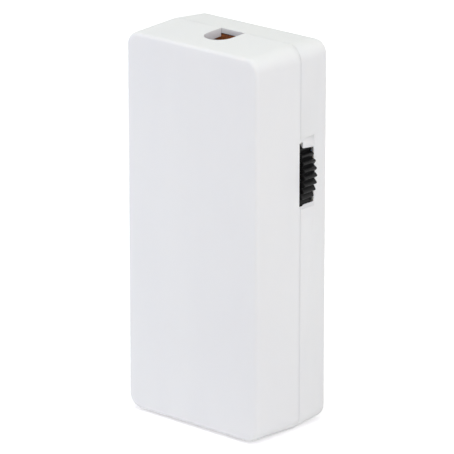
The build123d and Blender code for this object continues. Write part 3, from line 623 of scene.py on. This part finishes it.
def turned(name, place, axis, profile, sides=32, change=None, attributes=None):
    """A turned piece: a profile of (radius, height) pairs carried round an axis from a place, in
    millimetres. Change is a function of angle, radius and height over the whole grid that returns
    the new radius and height. Attributes give a value for each point of the profile."""
    axis = np.asarray(axis, float)
    across = np.array([0.0, 0.0, 1.0]) if abs(axis[2]) < 0.5 else np.array([1.0, 0.0, 0.0])
    other = np.cross(axis, across)
    angle = np.linspace(0, 2 * np.pi, sides, endpoint=False)[:, None]
    radius = np.broadcast_to(profile[None, :, 0], (sides, len(profile)))
    height = np.broadcast_to(profile[None, :, 1], (sides, len(profile)))
    if change:
        radius, height = change(angle, radius, height)
    points = (np.asarray(place, float) + (radius * np.cos(angle))[..., None] * across
              + (radius * np.sin(angle))[..., None] * other + height[..., None] * axis)
    values = {key: np.broadcast_to(np.asarray(value)[None, :], (sides, len(profile)))
              for key, value in (attributes or {}).items()}
    return closed_up(grid_mesh(name, points * MM, closed_u=True, attributes=values),
                     TURNED_SHARP_ANGLE)


def smooth_step(value):
    """0 to 1 with level ends: 3v^2 - 2v^3 of the value held between 0 and 1."""
    held = np.clip(value, 0, 1)
    return held * held * (3 - 2 * held)


# A screw's detail. Shares of the head: its dome, the slot's half width and soft edge, the cross's
# reach and its soft end, the dent's depth and the lowest point that it dents
SCREW_DOME = 0.3
SLOT_WIDTH = 0.22
SLOT_EDGE = 0.4
CROSS_REACH = 0.74
CROSS_EDGE = 0.3
SLOT_DEPTH = 0.5
SLOT_FLOOR = 0.6
# Shares of the shank's radius: the thread's pitch, root and height, and the point's length and tip
THREAD_PITCH = 0.72
THREAD_ROOT = 0.78
THREAD_HEIGHT = 0.19
POINT_LENGTH = 1.6
POINT_TIP = 0.25
THREAD_STEPS = 6


def screw_mesh(name, seat, axis, radius, head_radius, head_height, reach, slotted=False):
    """A domed screw. The head's top is an arc of a sphere, dented by a cross or a straight slot:
    the depth is a smooth step of the distance inside the slot's width. The shank's radius is a
    triangle wave of height over pitch less the turn, which makes the thread a real helix."""
    top = np.linspace(0, 1, 22)
    dome = SCREW_DOME * head_height
    cap = np.stack([head_radius * top,
                    head_height - dome + dome * np.sqrt(1 - (0.95 * top) ** 2)], axis=1)
    under = np.array([[head_radius, 0.10], [head_radius - 0.10, 0.0], [1.02 * radius, 0.0]])
    pitch = THREAD_PITCH * radius
    down = np.linspace(0, 1, max(int(reach / pitch * THREAD_STEPS), THREAD_STEPS))
    shank = np.stack([np.full(len(down), radius), -0.02 - down * (reach - 0.04)], axis=1)
    profile = np.concatenate([cap, under, shank, [[0.0, -reach]]])

    def change(angle, old_radius, old_height):
        across = old_radius * np.sin(angle)
        along = old_radius * np.cos(angle)
        width = SLOT_WIDTH * head_radius
        slot_one = smooth_step((width - np.abs(across)) / (SLOT_EDGE * width))
        slot_two = smooth_step((width - np.abs(along)) / (SLOT_EDGE * width))
        reach_end = smooth_step((CROSS_REACH * head_radius - np.hypot(along, across))
                                / (CROSS_EDGE * head_radius))
        dent = slot_one if slotted else np.maximum(slot_one, slot_two) * reach_end
        on_top = old_height > SLOT_FLOOR * head_height - 0.01
        tooth = np.abs((old_height / pitch - angle / (2 * np.pi)) % 1 - 0.5) * 2
        point = np.clip((reach + old_height) / (POINT_LENGTH * radius), POINT_TIP, 1)
        thread = (THREAD_ROOT + THREAD_HEIGHT * tooth) * point
        on_shank = (old_height < -0.01) & (old_radius > 0)
        return (np.where(on_shank, old_radius * thread, old_radius),
                old_height - SLOT_DEPTH * head_height * dent * on_top)

    return turned(name, seat, axis, profile, 48, change)


def screw_set(node, radius, head_radius, head_height, slotted=False, diagonal=False):
    """The screws of a CAD node, whose heads stand at the corners of its box. They point to the
    front, with their heads at its back."""
    low, high = box_mm(node)
    lift = TEN_SIDED * head_radius
    xs = sorted({round(low[0] + head_radius, 3), round(high[0] - head_radius, 3)})
    zs = sorted({round(low[2] + lift, 3), round(high[2] - lift, 3)})
    places = [(x, z) for x in xs for z in zs]
    if diagonal:
        places = [(xs[0], zs[-1]), (xs[-1], zs[0])]
    seat = high[1] - head_height
    return joined(node, [screw_mesh(node, (x, seat, z), (0, 1, 0), radius, head_radius,
                                    head_height, seat - low[1], slotted) for x, z in places])


def triac_screw():
    """The cross-recessed screw that holds the triac's tab, with its head towards the middle."""
    low, high = box_mm("triac_screw")
    middle = (low + high) / 2
    radius, head_radius, head_height = 1.45, 2.7, 2.0
    seat = high[0] - head_height
    return screw_mesh("triac_screw", (seat, middle[1], middle[2]), (1, 0, 0), radius,
                      head_radius, head_height, seat - low[0])


# A cut wire's end, as shares of its radius: the ring on its face, and how far its middle stands out
WIRE_END_RING = 0.75
WIRE_END_BULGE = 0.12


def wire(name, path, radius, upright, sides=10):
    """A round wire along a path of points in millimetres. Each ring stands across the path, its
    first point in the direction of upright, which the path never follows. Both ends are closed by
    a slightly domed face."""
    path = np.asarray(path, float)
    ahead = np.gradient(path, axis=0)
    ahead /= np.linalg.norm(ahead, axis=1, keepdims=True)
    upright = np.broadcast_to(np.asarray(upright, float), path.shape)
    side = np.cross(ahead, upright)
    side /= np.linalg.norm(side, axis=1, keepdims=True)
    up = np.cross(side, ahead)
    path = np.concatenate([path[:1], path[:1], path, path[-1:], path[-1:]])
    side = np.concatenate([side[:1], side[:1], side, side[-1:], side[-1:]])
    up = np.concatenate([up[:1], up[:1], up, up[-1:], up[-1:]])
    size = np.full(len(path), radius)
    size[:2] = 0, WIRE_END_RING * radius
    size[-2:] = WIRE_END_RING * radius, 0
    bulge = WIRE_END_BULGE * radius
    ends = np.concatenate([ahead[:1] * -bulge, 0 * ahead[:1],
                           0 * ahead, 0 * ahead[:1], ahead[-1:] * bulge])
    turn = np.linspace(0, 2 * np.pi, sides, endpoint=False)[:, None, None]
    points = (path + ends)[None] + size[None, :, None] * (np.cos(turn) * up[None]
                                                          + np.sin(turn) * side[None])
    return closed_up(grid_mesh(name, points * MM, closed_u=True), ROUND_SHARP_ANGLE)


def fine_path(corners, bend, steps=6):
    """A path through corners in space with each corner turned on a curve of the given size, and
    points added near the ends of each straight run so that the rings stay square to it."""
    corners = np.asarray(corners, float)
    radii = [0] + [bend] * (len(corners) - 2) + [0]
    points = rounded_profile(corners, radii, steps)
    keep = [True] + list(np.linalg.norm(np.diff(points, axis=0), axis=1) > 1e-6)
    return points[keep]


def choke_middle():
    """The middle of the choke's ring, in millimetres: its winding's box is cut short at -X."""
    low, high = box_mm("choke_winding")
    return np.array([high[0] - CHOKE_RADIUS, (low[1] + high[1]) / 2, (low[2] + high[2]) / 2])


# The choke, in millimetres. The wire goes CHOKE_HALF_SPAN degrees round the ring to both sides,
# and starts and ends CHOKE_WIRE_START degrees from the level of the ring's middle
CHOKE_RADIUS = 10.0
CHOKE_HOLE_RADIUS = 3.4
CHOKE_BAND = 1.2
CHOKE_HEIGHT = 9.0
CHOKE_WIRE_RADIUS = 0.54
CHOKE_WIRE_GAP = 0.03
CHOKE_TURNS = 19
CHOKE_HALF_SPAN = 160.0
CHOKE_WIRE_START = 35.0
CHOKE_LEG_SPREAD = 6.0


def ring_section(turn, half_width, half_height, power=8):
    """Distance from a ring section's middle at an angle: the curve |x/a|^p + |y/b|^p = 1."""
    return (np.abs(np.cos(turn) / half_width) ** power
            + np.abs(np.sin(turn) / half_height) ** power) ** (-1 / power)


def choke_core():
    """The epoxy-coated ring: a section with rounded corners carried round the ring's axis."""
    middle = choke_middle()
    mean = (CHOKE_RADIUS + CHOKE_HOLE_RADIUS) / 2
    half_width = (CHOKE_RADIUS - CHOKE_HOLE_RADIUS) / 2 - CHOKE_BAND
    half_height = CHOKE_HEIGHT / 2 - CHOKE_BAND
    turn = np.linspace(0, 2 * np.pi, 40, endpoint=False)
    reach = ring_section(turn, half_width, half_height)
    profile = np.stack([mean + reach * np.cos(turn), reach * np.sin(turn)], axis=1)
    angle = np.linspace(0, 2 * np.pi, 72, endpoint=False)[:, None]
    points = np.stack([middle[0] + profile[None, :, 0] * np.cos(angle),
                       np.broadcast_to(middle[1] + profile[None, :, 1], (72, 40)),
                       middle[2] + profile[None, :, 0] * np.sin(angle)], axis=-1)
    return closed_up(grid_mesh("choke_core", points * MM, True, True), ROUND_SHARP_ANGLE)


def choke_winding():
    """One wire wound close on the ring. Along the wire the angle round the ring grows evenly
    while the angle round the section turns CHOKE_TURNS times; both ends drop to the board."""
    middle = choke_middle()
    mean = (CHOKE_RADIUS + CHOKE_HOLE_RADIUS) / 2
    outside = CHOKE_WIRE_RADIUS + CHOKE_WIRE_GAP - CHOKE_BAND
    half_width = (CHOKE_RADIUS - CHOKE_HOLE_RADIUS) / 2 + outside
    half_height = CHOKE_HEIGHT / 2 + outside
    share = np.linspace(0, 1, CHOKE_TURNS * 36 + 1)
    start = math.radians(CHOKE_WIRE_START)
    section = share * (2 * np.pi * CHOKE_TURNS - 2 * start) - start
    around = np.radians(-CHOKE_HALF_SPAN + 2 * CHOKE_HALF_SPAN * share)
    reach = ring_section(section, half_width, half_height)
    from_axis = mean + reach * np.cos(section)
    coil = np.stack([middle[0] + from_axis * np.cos(around), middle[1] + reach * np.sin(section),
                     middle[2] + from_axis * np.sin(around)], axis=1)
    outward = np.stack([np.cos(section) * np.cos(around), np.sin(section),
                        np.cos(section) * np.sin(around)], axis=1)
    leg_x = middle[0] - CHOKE_RADIUS + CHOKE_BAND / 2
    floor = middle[1] - CHOKE_HEIGHT / 2 - 0.25
    ends = []
    for side, first in ((-1, coil[0]), (1, coil[-1])):
        foot = np.array([leg_x, floor, middle[2] + side * CHOKE_LEG_SPREAD / 2])
        knee = np.array([leg_x, floor + 1.2, foot[2]])
        blend = np.linspace(0, 1, 9)[:-1, None]
        ends.append((1 - blend) ** 2 * foot + 2 * blend * (1 - blend) * knee + blend ** 2 * first)
    path = np.concatenate([ends[0], coil, ends[1][::-1]])
    upright = np.concatenate([np.repeat(outward[:1], 8, axis=0), outward,
                              np.repeat(outward[-1:], 8, axis=0)])
    return wire("choke_winding", path, CHOKE_WIRE_RADIUS, upright, 8)


# Legs of the parts on the board, in millimetres
LEG_RADIUS = 0.32
AXIAL_LEG_SPREAD = 7.0
SMALL_CAP_LEG_SPREAD = 5.0
SMALL_CAP_LENGTH = 5.6
BIG_CAP_LEG_SPREAD = 12.5
LUG_FROM_EDGE = 0.7
LUG_RADIUS = 0.34
LUG_HEAD_RADIUS = 0.66
LUG_HEAD_HEIGHT = 0.3
LUG_POINT = 0.12
SOLDER_HEIGHT = 0.62
# How far the front ends of a node's legs may differ, and more than any leg's thickness
FRONTMOST = 0.05
THICKEST_LEG = 0.85


def upright_legs():
    """Where the straight legs of the capacitors and the choke stand, as (x, z)."""
    low, high = box_mm("timing_capacitors")
    z = (low[2] + high[2]) / 2
    reach = SMALL_CAP_LEG_SPREAD / 2
    places = [(x + side * reach, z) for x in (low[0] + SMALL_CAP_LENGTH / 2,
                                              high[0] - SMALL_CAP_LENGTH / 2)
              for side in (-1, 1)]
    low, high = box_mm("suppression_capacitor")
    x, z = (low[0] + high[0]) / 2, (low[2] + high[2]) / 2
    places += [(x, z + side * BIG_CAP_LEG_SPREAD / 2) for side in (-1, 1)]
    middle = choke_middle()
    x = middle[0] - CHOKE_RADIUS + CHOKE_BAND / 2
    return places + [(x, middle[2] + side * CHOKE_LEG_SPREAD / 2) for side in (-1, 1)]


def axial_rows():
    """The middle of each resistor and of the diac, with half its length."""
    low, high = box_mm("resistors")
    lift = TEN_SIDED * (high[1] - low[1]) / 2
    x, y = (low[0] + high[0]) / 2, (low[1] + high[1]) / 2
    half = (high[0] - low[0]) / 2
    rows = [(np.array([x, y, z]), half) for z in (low[2] + lift, high[2] - lift)]
    low, high = box_mm("diac")
    return rows + [((low + high) / 2, (high[0] - low[0]) / 2)]


def component_leads():
    """All the tinned legs: each axial part's legs leave its ends, bend and drop through the
    board; the others are straight."""
    low, _ = box_mm("component_leads")
    foot = low[1]
    legs = []
    for middle, half in axial_rows():
        for side in (-1, 1):
            x = middle[0] + side * AXIAL_LEG_SPREAD / 2
            path = fine_path([(middle[0] + side * (half - 0.2), middle[1], middle[2]),
                              (x, middle[1], middle[2]), (x, foot, middle[2])], 0.55)
            legs.append(wire("leg", path, LEG_RADIUS, (0, 0, 1)))
    top = box_mm("suppression_capacitor")[0][1] + 0.2
    for x, z in upright_legs():
        path = [(x, y, z) for y in np.linspace(top, foot, 4)]
        legs.append(wire("leg", path, LEG_RADIUS, (0, 0, 1)))
    return joined("component_leads", legs)


def lug_places():
    """Where the potentiometer's three lugs stand: their heights at both ends and their (x, z)."""
    low, high = box_mm("potentiometer_pins")
    z = (low[2] + high[2]) / 2
    xs = (low[0] + LUG_FROM_EDGE, (low[0] + high[0]) / 2, high[0] - LUG_FROM_EDGE)
    return low[1], high[1], [(x, z) for x in xs]


def leg_ends(node):
    """The middle of each leg of a CAD node in front of the board, as (x, z): its frontmost
    points, parted where the next one along the row is further off than a leg is thick."""
    vertices = nodes[node].data.vertices
    points = np.empty(3 * len(vertices))
    vertices.foreach_get("co", points)
    points = points.reshape(-1, 3) / MM
    ends = points[points[:, 1] < points[:, 1].min() + FRONTMOST][:, [0, 2]]
    row = int(np.ptp(ends[:, 1]) > np.ptp(ends[:, 0]))
    ends = ends[np.argsort(ends[:, row])]
    legs = np.split(ends, np.where(np.diff(ends[:, row]) > THICKEST_LEG)[0] + 1)
    return [tuple((leg.min(axis=0) + leg.max(axis=0)) / 2) for leg in legs]


def solder_joints():
    """The solder cone round every leg on the board's front: its radius falls from the pad to the
    leg as the square of the height, which gives the hollow flank of a wetted joint."""
    low, _ = box_mm("circuit_board")
    front = low[1]
    places = [(middle[0] + side * AXIAL_LEG_SPREAD / 2, middle[2])
              for middle, _ in axial_rows() for side in (-1, 1)]
    places += upright_legs() + lug_places()[2]
    # Each row of legs has its own cone: the radius at its top, and how much wider its pad is
    rows = [(0.36, 0.62, places), (0.36, 0.40, leg_ends("triac_leads")),
            (0.52, 0.60, leg_ends("top_terminal_cages") + leg_ends("bottom_terminal_cages"))]
    rise = np.linspace(0, 1, 6)
    cones = []
    for top, wider, middles in rows:
        profile = np.stack([top + wider * (1 - rise) ** 2, -SOLDER_HEIGHT * rise], axis=1)
        profile = np.concatenate([[[0.0, 0.0]], profile, [[0.0, -SOLDER_HEIGHT]]])
        cones += [turned("joint", (x, front, z), (0, 1, 0), profile, 14) for x, z in middles]
    return joined("solder_joints", cones)


def resistors():
    """Two lacquered resistors: the radius is 0.96 mm between the end caps and 0.18 mm more over
    them, along a smooth step of the height, and closes in to the ends as an ellipse does. The
    band value marks where each code ring lies."""
    height = np.concatenate([[-1.0], np.linspace(-1, 1, 61), [1.0]])
    bodies = []
    for middle, half in axial_rows()[:2]:
        radius = 0.96 + 0.18 * smooth_step((np.abs(height) - 0.42) / 0.16)
        radius = radius * np.sqrt(np.clip(1 - ((np.abs(height) - 0.84) / 0.17).clip(0) ** 2, 0, 1))
        radius[[0, -1]] = 0
        rings = ((-0.60, 0.2), (-0.24, 0.4), (0.06, 0.6), (0.56, 0.8))
        band = sum(np.where(np.abs(height - place) < 0.075, value, 0) for place, value in rings)
        profile = np.stack([radius, height * half], axis=1)
        bodies.append(turned("resistor", middle, (1, 0, 0), profile, 28, None, {"band": band}))
    return joined("resistors", bodies)


def diac():
    """The glass bead: a barrel of 0.92 mm radius whose last 0.28 draws in as an ellipse does."""
    middle, half = axial_rows()[2]
    height = np.linspace(-1, 1, 31)
    radius = 0.92 * np.sqrt(np.clip(1 - ((np.abs(height) - 0.72) / 0.28).clip(0) ** 2, 0, 1))
    return turned("diac", middle, (1, 0, 0), np.stack([radius, height * half], axis=1), 28)


def potentiometer_pins():
    """The three lugs: a domed rivet head on the wafer over a round leg through the board."""
    front, back, places = lug_places()
    neck = back - front - LUG_HEAD_HEIGHT
    bend = np.linspace(0, np.pi / 2, 6)
    head = np.stack([LUG_HEAD_RADIUS * np.sin(bend), neck + LUG_HEAD_HEIGHT * np.cos(bend)],
                    axis=1)
    leg = [[LUG_RADIUS, neck], [LUG_RADIUS, LUG_POINT], [0.0, 0.0]]
    profile = np.concatenate([head, leg])
    return joined("potentiometer_pins", [turned("lug", (x, front, z), (0, 1, 0), profile, 20)
                                         for x, z in places])


# The fuse, in millimetres: the glass's thickness, the caps and the wire
FUSE_GLASS = 0.5
CAP_LENGTH = 5.6
CAP_SHEET = 0.22
CAP_END = 1.0
FUSE_WIRE_RADIUS = 0.07
FUSE_WIRE_SAG = 0.35


def fuse_tube():
    """The glass tube, open at both ends, its rims fire-polished round."""
    low, high = box_mm("fuse_tube")
    middle = (low + high) / 2
    outer = (high[0] - low[0]) / 2
    inner = outer - FUSE_GLASS
    half = (high[2] - low[2]) / 2
    corners = [(inner, 0), (inner, -half), (outer, -half), (outer, half), (inner, half),
               (inner, 0)]
    profile = rounded_profile(corners, [0, 0.2, 0.2, 0.2, 0.2, 0])
    return turned("fuse_tube", middle, (0, 0, 1), profile, 40)


def fuse_caps():
    """The two drawn caps: a closed end with a rounded rim and a slightly rolled-in mouth."""
    low, high = box_mm("fuse_caps")
    middle = (low + high) / 2
    radius = (high[0] - low[0]) / 2
    inside = radius - CAP_SHEET
    corners = [(0, 0), (radius, 0), (radius, CAP_LENGTH), (inside, CAP_LENGTH),
               (inside, CAP_END), (0, CAP_END)]
    profile = rounded_profile(corners, [0, 0.45, 0.12, 0.08, 0.2, 0])
    return joined("fuse_caps", [
        turned("cap", (middle[0], middle[1], low[2]), (0, 0, 1), profile, 40),
        turned("cap", (middle[0], middle[1], high[2]), (0, 0, -1), profile, 40)])


def fuse_wire():
    """The thin wire inside the glass, soldered in both caps and sagging a little between them."""
    low, high = box_mm("fuse_tube")
    middle = (low + high) / 2
    share = np.linspace(-1, 1, 25)
    path = np.stack([np.full(25, middle[0]), middle[1] - FUSE_WIRE_SAG * (1 - share ** 2),
                     middle[2] + share * (high[2] - low[2]) / 2], axis=1)
    return wire("fuse_wire", path, FUSE_WIRE_RADIUS, (1, 0, 0), 6)


def run():
    """Makes the pieces of the whole dimmer."""
    white = moulded_white_abs()
    smooth_copy("front_shell", white, "case_plastic", bevel_mm=0.1)
    smooth_copy("back_cover", white, "case_plastic", bevel_mm=0.1)
    link_piece(thumbwheel(), "thumbwheel_moulding", moulded_black_wheel(), "wheel",
               "wheel_plastic", "thumbwheel")

    zinc = plated_metal("zinc_plated_steel", "#d6d9d8", "#bcc2c6", 0.32, 0.22)
    nickel = plated_metal("nickelled_brass", "#d9cfae", "#c4b68c", 0.24, 0.15, (1, 5, 1))
    bronze = plated_metal("rolled_spring_bronze", "#cf9e62", "#b98549", 0.28, 0.3, (1, 1, 0.1))
    brass = plated_metal("sawn_brass", "#dcb968", "#c69f4c", 0.3, 0.25, (0.1, 1, 1))
    aluminium = plated_metal("rolled_aluminium", "#d9dbdd", "#c6c9cc", 0.34, 0.3, (1, 1, 0.06))
    tinned = plated_metal("tinned_copper", "#d2d2cf", "#bbbbb7", 0.30, 0.3)
    bright_nickel = plated_metal("bright_nickel", "#dcd8cc", "#cbc5b6", 0.16, 0.3)
    clamp = pressed_phenolic("clamp_fibre", "#c4742e", "#823e12", 1)
    wafer = pressed_phenolic("wafer_fibre", "#9a5a2a", "#6b3817", 1)
    thermoset = dull_moulding("black_thermoset", "#232426", "#2b2c2f", 0.42)
    epoxy = dull_moulding("moulded_epoxy", "#1d1e20", "#26272a", 0.5, 0.25)
    block = dull_moulding("glass_filled_nylon", "#2a2c2f", "#343639", 0.46, 0.3)

    for node in ("top_cord_clamp", "bottom_cord_clamp"):
        smooth_copy(node, clamp, "phenolic", bevel_mm=0.15)
    screws = (("clamp_screws", 1.25, 2.2, 1.5, False, False),
              ("case_screws", 1.4, 2.5, 1.9, False, False),
              ("board_screws", 1.25, 2.2, 1.5, False, True),
              ("terminal_screws", 1.2, 1.7, 1.0, True, False))
    for node, radius, head_radius, head_height, slotted, diagonal in screws:
        link_piece(screw_set(node, radius, head_radius, head_height, slotted, diagonal),
                   node + "_turned", zinc, "root", "zinc_steel", node)
    link_piece(screw_set("wheel_screw", 1.25, 2.2, 1.5), "wheel_screw_turned", zinc, "wheel",
               "zinc_steel", "wheel_screw")
    link_piece(triac_screw(), "triac_screw_turned", zinc, "root", "zinc_steel", "triac_screw")

    smooth_copy("potentiometer_shaft", nickel, "nickel_brass", "wheel", 0.12)
    smooth_copy("wiper_carrier", thermoset, "dark_moulding", "wheel", 0.12)
    smooth_copy("wiper_spring", bronze, "spring_bronze", "wheel", 0.04)
    smooth_copy("potentiometer_base", wafer, "phenolic", bevel_mm=0.08)
    smooth_copy("potentiometer_housing", zinc, "zinc_steel", bevel_mm=0.12)
    smooth_copy("resistive_track", printed_carbon(), "carbon_track")
    link_piece(potentiometer_pins(), "potentiometer_pins_riveted", tinned, "root",
               "tinned_wire", "potentiometer_pins")

    smooth_copy("circuit_board", circuit_laminate(), "phenolic", bevel_mm=0.08)
    link_piece(solder_joints(), "solder_joints", tinned, "root", "tinned_wire")
    link_piece(component_leads(), "component_leads_bent", tinned, "root", "tinned_wire",
               "component_leads")
    for node in ("top_terminal_block", "bottom_terminal_block"):
        smooth_copy(node, block, "dark_moulding", bevel_mm=0.14)
    for node in ("top_terminal_cages", "bottom_terminal_cages"):
        smooth_copy(node, brass, "brass", bevel_mm=0.1)
    smooth_copy("heat_sink", aluminium, "aluminium", bevel_mm=0.12)
    smooth_copy("triac_body", epoxy, "dark_moulding", bevel_mm=0.14)
    smooth_copy("triac_tab", tinned, "tinned_copper", bevel_mm=0.08)
    smooth_copy("triac_leads", tinned, "tinned_wire", bevel_mm=0.06)
    link_piece(choke_core(), "choke_core_ring",
               dull_moulding("epoxy_powder_coat", "#c9bd58", "#b8ab47", 0.4), "root",
               "iron_powder", "choke_core")
    link_piece(choke_winding(), "choke_winding_turns", enamelled_copper(), "root",
               "enamelled_copper", "choke_winding")
    boxed = dull_moulding("polyester_capacitor_case", "#c8993f", "#bb8a31", 0.36)
    smooth_copy("suppression_capacitor", boxed, "capacitor_case", bevel_mm=0.3)
    smooth_copy("timing_capacitors", boxed, "capacitor_case", bevel_mm=0.3)
    link_piece(resistors(), "resistors_banded", banded_lacquer(), "root",
               "resistor_coating", "resistors")
    link_piece(diac(), "diac_bead", clear_glass("tinted_glass_bead", "#c9562e", 0.06), "root",
               "diac_glass", "diac")
    link_piece(fuse_tube(), "fuse_tube_drawn", clear_glass("drawn_glass", "#f4f8f6", 0.02),
               "root", "fuse_glass", "fuse_tube")
    link_piece(fuse_caps(), "fuse_caps_drawn", bright_nickel, "root", "nickel_caps",
               "fuse_caps")
    link_piece(fuse_wire(), "fuse_wire", tinned, "root", "tinned_wire")
    smooth_copy("fuse_clips", bronze, "spring_bronze", bevel_mm=0.06)


add_camera()
add_surroundings()
run()
